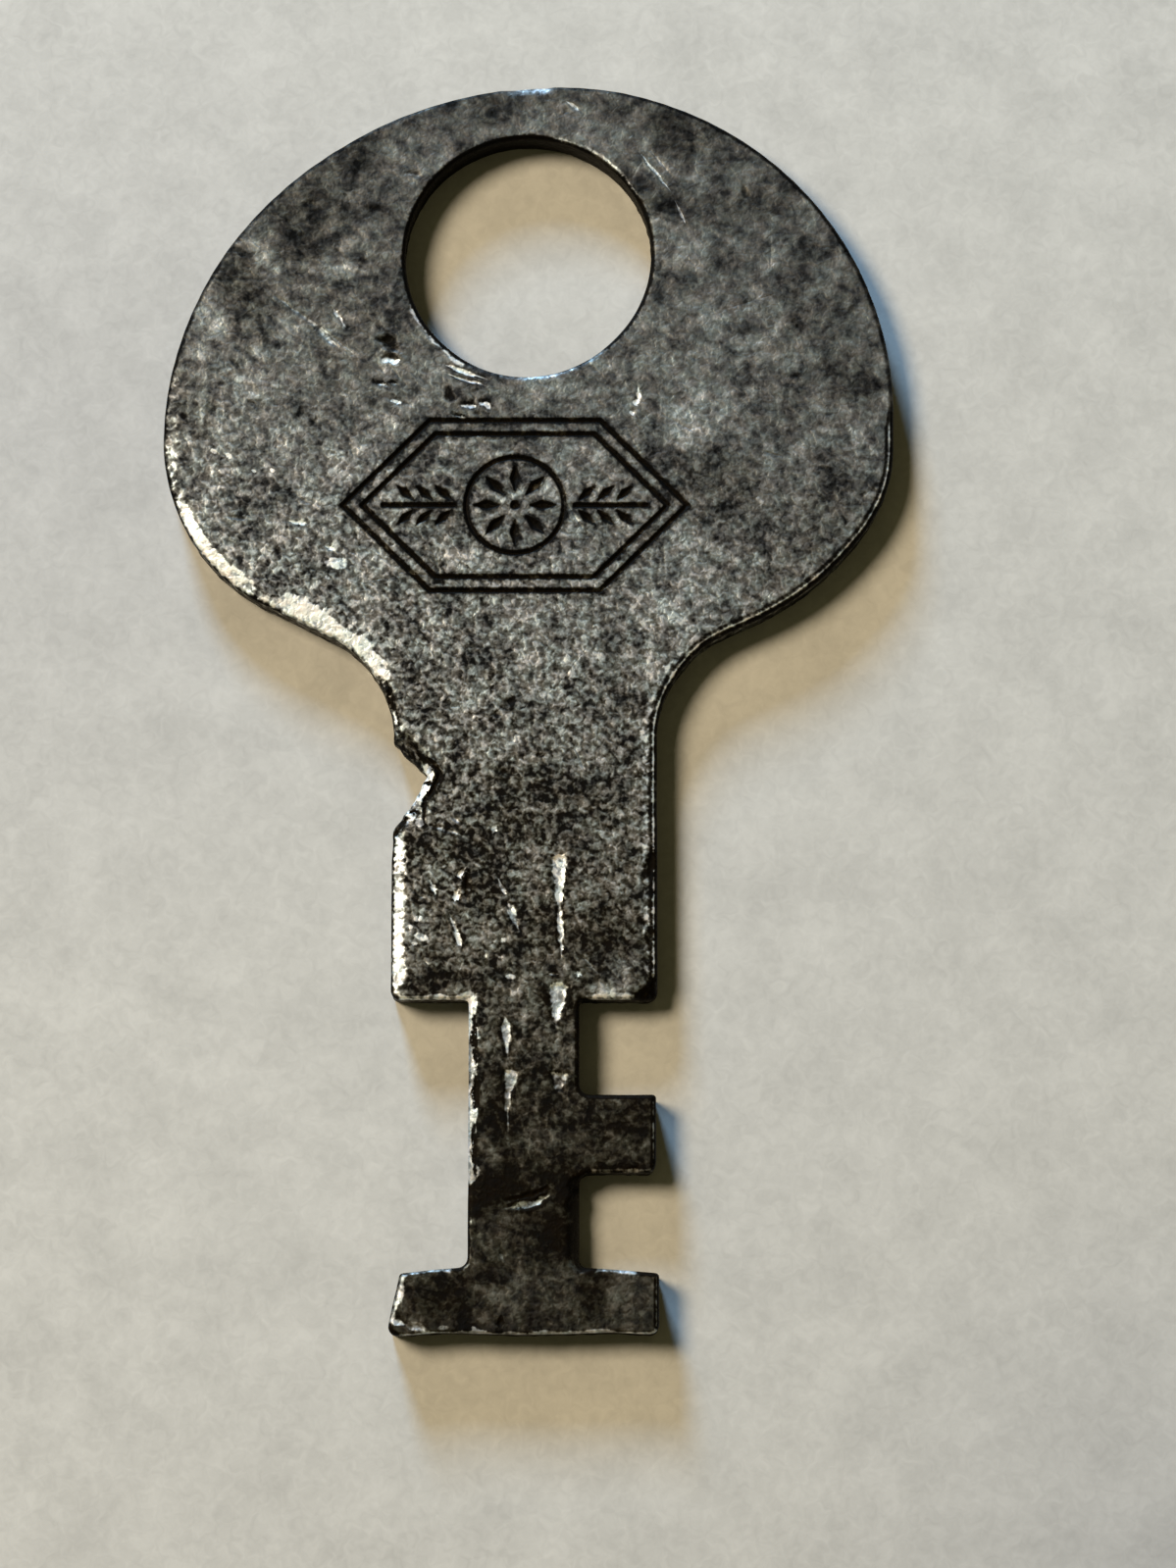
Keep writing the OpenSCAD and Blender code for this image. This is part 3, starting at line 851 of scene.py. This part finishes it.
def lower_part(edges):
    """The underside, in the same form. Its outline lies a little inside, round a small burr."""
    rims = [rim + TURN_IN * into_metal(rim) for rim in edges.loops()]
    sieve = Sieve(edges)
    sieve.block(np.concatenate(rims), 0.06)
    sieve.add(sieve.hex_grid(LOWER_STEP), 0.1)
    points, faces = triangulate(rims, sieve.deeper_than(TURN_IN + 0.03))
    depth = edges.nearest(points)[0]
    z = smooth((depth - TURN_IN) / 0.5) * bumps(points, LOWER_BUMPS)
    bare = 0.5 * smooth(1.3 - depth / 0.3 + 0.3 * noise(points, 0.5, 63))
    soot = 0.25 * smooth(noise(points, 1.6, 64))
    return points, z, bare, soot, faces[:, ::-1]


def wall_rows(edges, heights):
    """Rows of points down the side walls, rough where the press tore the steel, in the same form."""
    rows = []
    side = edges.shape["side"]
    lengths = [np.cumsum(np.linalg.norm(rim - np.roll(rim, 1, 0), axis=1)) for rim in edges.loops()]
    for k in range(1, WALL_ROWS):
        fall = k / WALL_ROWS
        z = heights * (1 - fall) + TURN_IN * fall
        torn = smooth((fall - 0.35) / 0.3)
        place = np.stack([np.concatenate(lengths), z], 1)
        streak = noise(place / (1, 4), 0.1, 72)
        inset = torn * 0.018 * (1 + noise(place, 0.19, 71)) + 0.004 * (1 + streak)
        # The walls are darkened as painted shade and lightened near the top, each painted lighter or darker
        # by the stretch's side value, with streaks
        bare = 0.3 * (1 - torn) * (1 + streak) * (1 + side)
        soot = 0.6 - 0.6 * side + 0.2 * torn * noise(place, 0.25, 73) + 0.15 * streak
        rows.append((edges.points + edges.inward * inset[:, None], z, bare, soot))
    return rows


def wall_faces(edges, first_row, lower_rim):
    """Triangles of the walls, between the upper rim, the rows, and the lower rim."""
    count = len(edges.points)
    starts = [0] + [first_row + k * count for k in range(WALL_ROWS - 1)] + [lower_rim]
    faces = []
    for upper, lower in zip(starts, starts[1:]):
        for a, b in zip(edges.starts, edges.starts[1:]):
            here, after = np.arange(a, b), np.roll(np.arange(a, b), -1)
            faces.append(np.stack([here + lower, after + lower, after + upper], 1))
            faces.append(np.stack([here + lower, after + upper, here + upper], 1))
    return faces


def build_key():
    """The key as one closed mesh: upper face, side walls and underside."""
    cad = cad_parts["key"].data
    outlines = sorted(flat_outlines(cad, 0, -1), key=lambda outline: -np.ptp(outline[:, 1]))
    edges = Edges([smooth_outline(outline, EDGE_STEP) for outline in outlines])
    ornament_floor = min(round(face.center.z / MM, 2) for face in cad.polygons if face.normal.z > 0.99)
    loops = [smooth_outline(loop, MARK_STEP) for loop in flat_outlines(cad, ornament_floor, 1)]
    ornament = dict(loops=loops, depth=THICK - ornament_floor)

    *upper, upper_faces = upper_part(edges, ornament)
    *lower, lower_faces = lower_part(edges)
    rows = wall_rows(edges, upper[1][:len(edges.points)])
    flat, z, bare, soot = (np.concatenate(part) for part in zip(upper, *rows, lower))
    first_row = len(upper[0])
    lower_rim = len(flat) - len(lower[0])
    faces = [upper_faces, *wall_faces(edges, first_row, lower_rim), lower_faces + lower_rim]

    mesh = bpy.data.meshes.new("key_steel")
    mesh.from_pydata((np.column_stack([flat, z]) * MM).tolist(), [], np.concatenate(faces).tolist())
    for name, values in (("bare", bare), ("soot", soot)):
        mesh.attributes.new(name, "FLOAT", "POINT").data.foreach_set("value", values.astype(np.float32))
    mesh.materials.append(steel_material())
    mesh.shade_smooth()
    return add_object("key_steel", mesh)


class Shader:
    """Short calls that add nodes to a material or a world."""

    def __init__(self, owner):
        owner.use_nodes = True
        self.tree = owner.node_tree
        self.tree.nodes.clear()

    def node(self, kind, inputs=None, **settings):
        made = self.tree.nodes.new("ShaderNode" + kind)
        for name, value in settings.items():
            setattr(made, name, value)
        for name, value in (inputs or {}).items():
            if isinstance(value, bpy.types.NodeSocket):
                self.tree.links.new(value, made.inputs[name])
            else:
                made.inputs[name].default_value = value
        return made

    def math(self, operation, *values, clamp=False):
        return self.node("Math", dict(enumerate(values)), operation=operation, use_clamp=clamp).outputs[0]

    def add(self, value, share, total, clamp=False):
        """A total with a share of the value added to it."""
        return self.math("MULTIPLY_ADD", value, share, total, clamp=clamp)

    def vector(self, operation, inputs):
        """A sum with vectors: its vector, or its number where it gives one."""
        outputs = self.node("VectorMath", inputs, operation=operation).outputs
        return outputs["Value" if operation == "DISTANCE" else "Vector"]

    def noise(self, place, scale, detail=2.0, rough=0.5, distort=0.0):
        inputs = {"Vector": place, "Scale": scale, "Detail": detail, "Roughness": rough}
        return self.node("TexNoise", {**inputs, "Distortion": distort}).outputs[0]

    def centred(self, value):
        return self.math("SUBTRACT", value, 0.5)

    def grey_ramp(self, value, stops):
        return self.ramp(value, [(place, (grey, grey, grey)) for place, grey in stops])

    def ramp(self, value, stops):
        ramp = self.node("ValToRGB", {"Fac": value})
        elements = ramp.color_ramp.elements
        elements.remove(elements[1])
        for k, (place, colour) in enumerate(stops):
            element = elements[0] if k == 0 else elements.new(place)
            element.position = place
            element.color = (*colour, 1)
        return ramp.outputs["Color"]

    def rise(self, value, low, high, start=0.0, end=1.0, kind="LINEAR"):
        """Goes from start to end as the value goes from low to high."""
        inputs = {"Value": value, "From Min": low, "From Max": high, "To Min": start, "To Max": end}
        return self.node("MapRange", inputs, interpolation_type=kind).outputs["Result"]

    def place(self):
        """The object's own coordinates, in metres and in millimetres."""
        metres = self.node("TexCoord").outputs["Object"]
        return metres, self.vector("SCALE", {0: metres, "Scale": 1 / MM})


# How light the steel is, from the tip at 0 to the crown at 1, and how much it shows of each pattern there
LIGHT = [(0, 0.18), (0.05, 0.16), (0.12, 0.09), (0.17, 0.16), (0.22, 0.26), (0.3, 0.31),
         (0.37, 0.36), (0.45, 0.38), (0.52, 0.465), (0.6, 0.48), (0.8, 0.39), (1, 0.31)]
GRAINY = [(0, 0.11), (0.15, 0.15), (0.25, 0.3), (0.35, 0.47),
          (0.5, 0.46), (0.6, 0.34), (0.75, 0.13), (1, 0.03)]
WISPY = [(0, 0.6), (0.1, 0.7), (0.2, 1.15), (0.5, 1.05), (0.75, 0.9), (1, 0.75)]
PATCHY = [(0, 0.6), (0.25, 0.95), (0.5, 0.9), (1, 0.95)]

# Colours of the steel from its darkest to its lightest, where it is grey and where it is brown
GREY = [(0, (0.003, 0.003, 0.003)), (0.2, (0.0185, 0.0195, 0.0205)), (0.4, (0.079, 0.085, 0.09)),
        (0.6, (0.198, 0.222, 0.247)), (0.8, (0.465, 0.525, 0.6)), (1, (0.9, 0.95, 0.97))]
BROWN = [(0, (0.005, 0.003, 0.001)), (0.2, (0.0228, 0.0195, 0.0112)), (0.4, (0.0885, 0.0855, 0.072)),
         (0.6, (0.21, 0.222, 0.218)), (0.8, (0.48, 0.523, 0.57)), (1, (0.92, 0.95, 0.95))]
RUST_TINT = [(0.36, (0.94, 1.015, 1)), (0.64, (1.06, 0.985, 0.95))]


def steel_material():
    """Mottled dark old steel, browner and darker to the tip; use and painted glints light it, dirt and
    painted shade darken it.
    """
    material = bpy.data.materials.new("aged_steel")
    s = Shader(material)
    place = s.place()[1]
    across, along, _ = s.node("SeparateXYZ", {0: place}).outputs
    bare = s.node("Attribute", attribute_name="bare").outputs["Fac"]
    soot = s.node("Attribute", attribute_name="soot").outputs["Fac"]
    far = s.rise(along, -33, 6)

    # Grains with dark gaps, specks, wisps, blotches and clouds, each from -0.5 to 0.5, and dark spots
    grain = s.centred(s.rise(s.noise(place, 5.6, 1.0, 0.5, 0.35), 0.32, 0.68, kind="SMOOTHSTEP"))
    speck = s.centred(s.noise(place, 12.0, 1.0))
    wisp = s.centred(s.noise(place, 2.6, 3.0, 0.6, 0.5))
    blotch = s.centred(s.noise(place, 0.9, 3.0, 0.6, 0.8))
    cloud = s.centred(s.noise(place, 0.24, 2.0))
    spots = s.rise(s.noise(place, 3.4, 2.0, 0.6, 0.3), 0.56, 0.7, kind="SMOOTHSTEP")

    # How light the steel is: each pattern adds its share, dirt and painted shade darken it, and
    # places polished by use and painted glints shine
    # Lighter and grainier towards -X, the side the warm lamp lights: painted light
    light = s.add(across, -0.004, s.grey_ramp(far, LIGHT))
    grainy = s.math("MULTIPLY", s.grey_ramp(far, GRAINY), s.add(across, -0.03, 1))
    light = s.add(grain, grainy, light)
    light = s.add(wisp, s.grey_ramp(far, WISPY), light)
    light = s.add(speck, s.add(grainy, 0.8, 0.06), light)
    light = s.add(blotch, s.grey_ramp(far, PATCHY), light)
    light = s.add(cloud, 0.35, light)
    light = s.add(spots, s.math("MULTIPLY", grainy, -0.55), light)
    light = s.add(soot, -0.5, light)
    rubbed_and_glint = s.rise(s.add(grain, 0.2, s.add(wisp, 0.4, bare)), 0.3, 0.9, kind="SMOOTHSTEP")
    light = s.add(rubbed_and_glint, 0.58, light, clamp=True)

    # Colour, from grey to brown, and gloss
    browned = s.add(blotch, 1.5, s.rise(along, -6, -20, 0.4, 0.85))
    browned = s.add(wisp, 2.5, browned, clamp=True)
    skins = {0: browned, 6: s.ramp(light, GREY), 7: s.ramp(light, BROWN)}
    colour = s.node("Mix", skins, data_type="RGBA").outputs[2]
    tint = s.ramp(s.noise(place, 2.2, 2.0, 0.6), RUST_TINT)
    metal = s.add(rubbed_and_glint, -0.3, s.rise(light, 0.2, 0.8, 0.35, 0.7))
    dull = s.add(speck, 0.3, s.math("SUBTRACT", 1, light))
    height = s.add(speck, 0.4, grain)
    bump = s.node("Bump", {"Strength": 0.6, "Distance": 12 * MICRON, "Height": height})
    steel = s.node("BsdfPrincipled", {
        "Base Color": s.vector("MULTIPLY", {0: colour, 1: tint}),
        "Metallic": metal,
        "Roughness": s.rise(dull, 0.1, 1.0, 0.4, 0.62),
        "Specular IOR Level": s.rise(light, 0.05, 0.4, 0.06, 0.5),
        "Normal": bump.outputs[0]})
    s.node("OutputMaterial", {"Surface": steel.outputs[0]})
    return material


def floor_material():
    """Off-white paper with faint fibres, and painted shade in two places."""
    material = bpy.data.materials.new("pale_floor")
    s = Shader(material)
    metres, place = s.place()
    fibres = s.noise(metres, 2600.0, 3.0, 0.6, 1.0)
    mottle = s.add(s.noise(metres, 500.0, 3.0), 0.5, s.math("MULTIPLY", fibres, 0.5))
    colour = s.ramp(mottle, PAPER)
    for at, reach, left in SHADES:
        away = s.vector("DISTANCE", {0: place, 1: (*at, 0)})
        tone = s.ramp(s.rise(away, 0, reach), [(0, left), (1, (1, 1, 1))])
        colour = s.vector("MULTIPLY", {0: colour, 1: tone})
    paper = s.node("BsdfPrincipled", {"Base Color": colour, "Roughness": 0.9})
    s.node("OutputMaterial", {"Surface": paper.outputs[0]})
    return material


def add_object(name, data):
    """A new object in the scene."""
    made = bpy.data.objects.new(name, data)
    bpy.context.scene.collection.objects.link(made)
    return made


def make_floor():
    """A square sheet of paper, just under the key."""
    half, below = 1.5, -0.01 * MM
    corners = [(-half, -half, below), (half, -half, below), (half, half, below), (-half, half, below)]
    mesh = bpy.data.meshes.new("floor")
    mesh.from_pydata(corners, [], [(0, 1, 2, 3)])
    mesh.materials.append(floor_material())
    floor = add_object("floor", mesh)


def make_lamp(name, azimuth, elevation, size, watts, colour):
    """A soft round lamp 0.4 m from the key. Azimuth 0 is towards +Y and 90 towards +X."""
    distance = 0.4
    data = bpy.data.lights.new(name, "AREA")
    data.shape = "DISK"
    data.size = size
    data.energy = watts
    data.color = colour
    lamp = add_object(name, data)
    a, e = math.radians(azimuth), math.radians(elevation)
    way = Vector((math.sin(a) * math.cos(e), math.cos(a) * math.cos(e), math.sin(e)))
    lamp.location = Vector((0, -0.014, 0)) + way * distance
    lamp.rotation_euler = way.to_track_quat("Z", "Y").to_euler()


def make_world():
    """A faint yellow light from everywhere, as a room gives."""
    world = bpy.data.worlds.new("studio")
    s = Shader(world)
    sky = s.node("Background", {"Color": (1, 0.88, 0.42, 1), "Strength": 0.075})
    s.node("OutputWorld", {"Surface": sky.outputs[0]})
    bpy.context.scene.world = world


def make_camera():
    """The photograph's view: 10 degrees off straight down, 145 mm from the key."""
    distance, tilt = 145 * MM, math.radians(10)
    aim = Vector((1.797, -16.294, THICK)) * MM
    data = bpy.data.cameras.new("camera")
    data.lens = 111.5
    data.clip_start = 0.001
    camera = add_object("camera", data)
    camera.location = aim + distance * Vector((0, -math.sin(tilt), math.cos(tilt)))
    camera.rotation_euler = (tilt, 0, 0)
    bpy.context.scene.camera = camera


make_camera()
make_world()
make_floor()
make_lamp("cool_lamp", azimuth=-18, elevation=20.5, size=0.09, watts=2.06, colour=(0.41, 0.675, 1.0))
make_lamp("warm_lamp", azimuth=-64, elevation=52.5, size=0.15, watts=1.46, colour=(1.0, 0.815, 0.55))

key = build_key()
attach(key, "root")
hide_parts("key")

bpy.context.scene.view_settings.view_transform = "Standard"
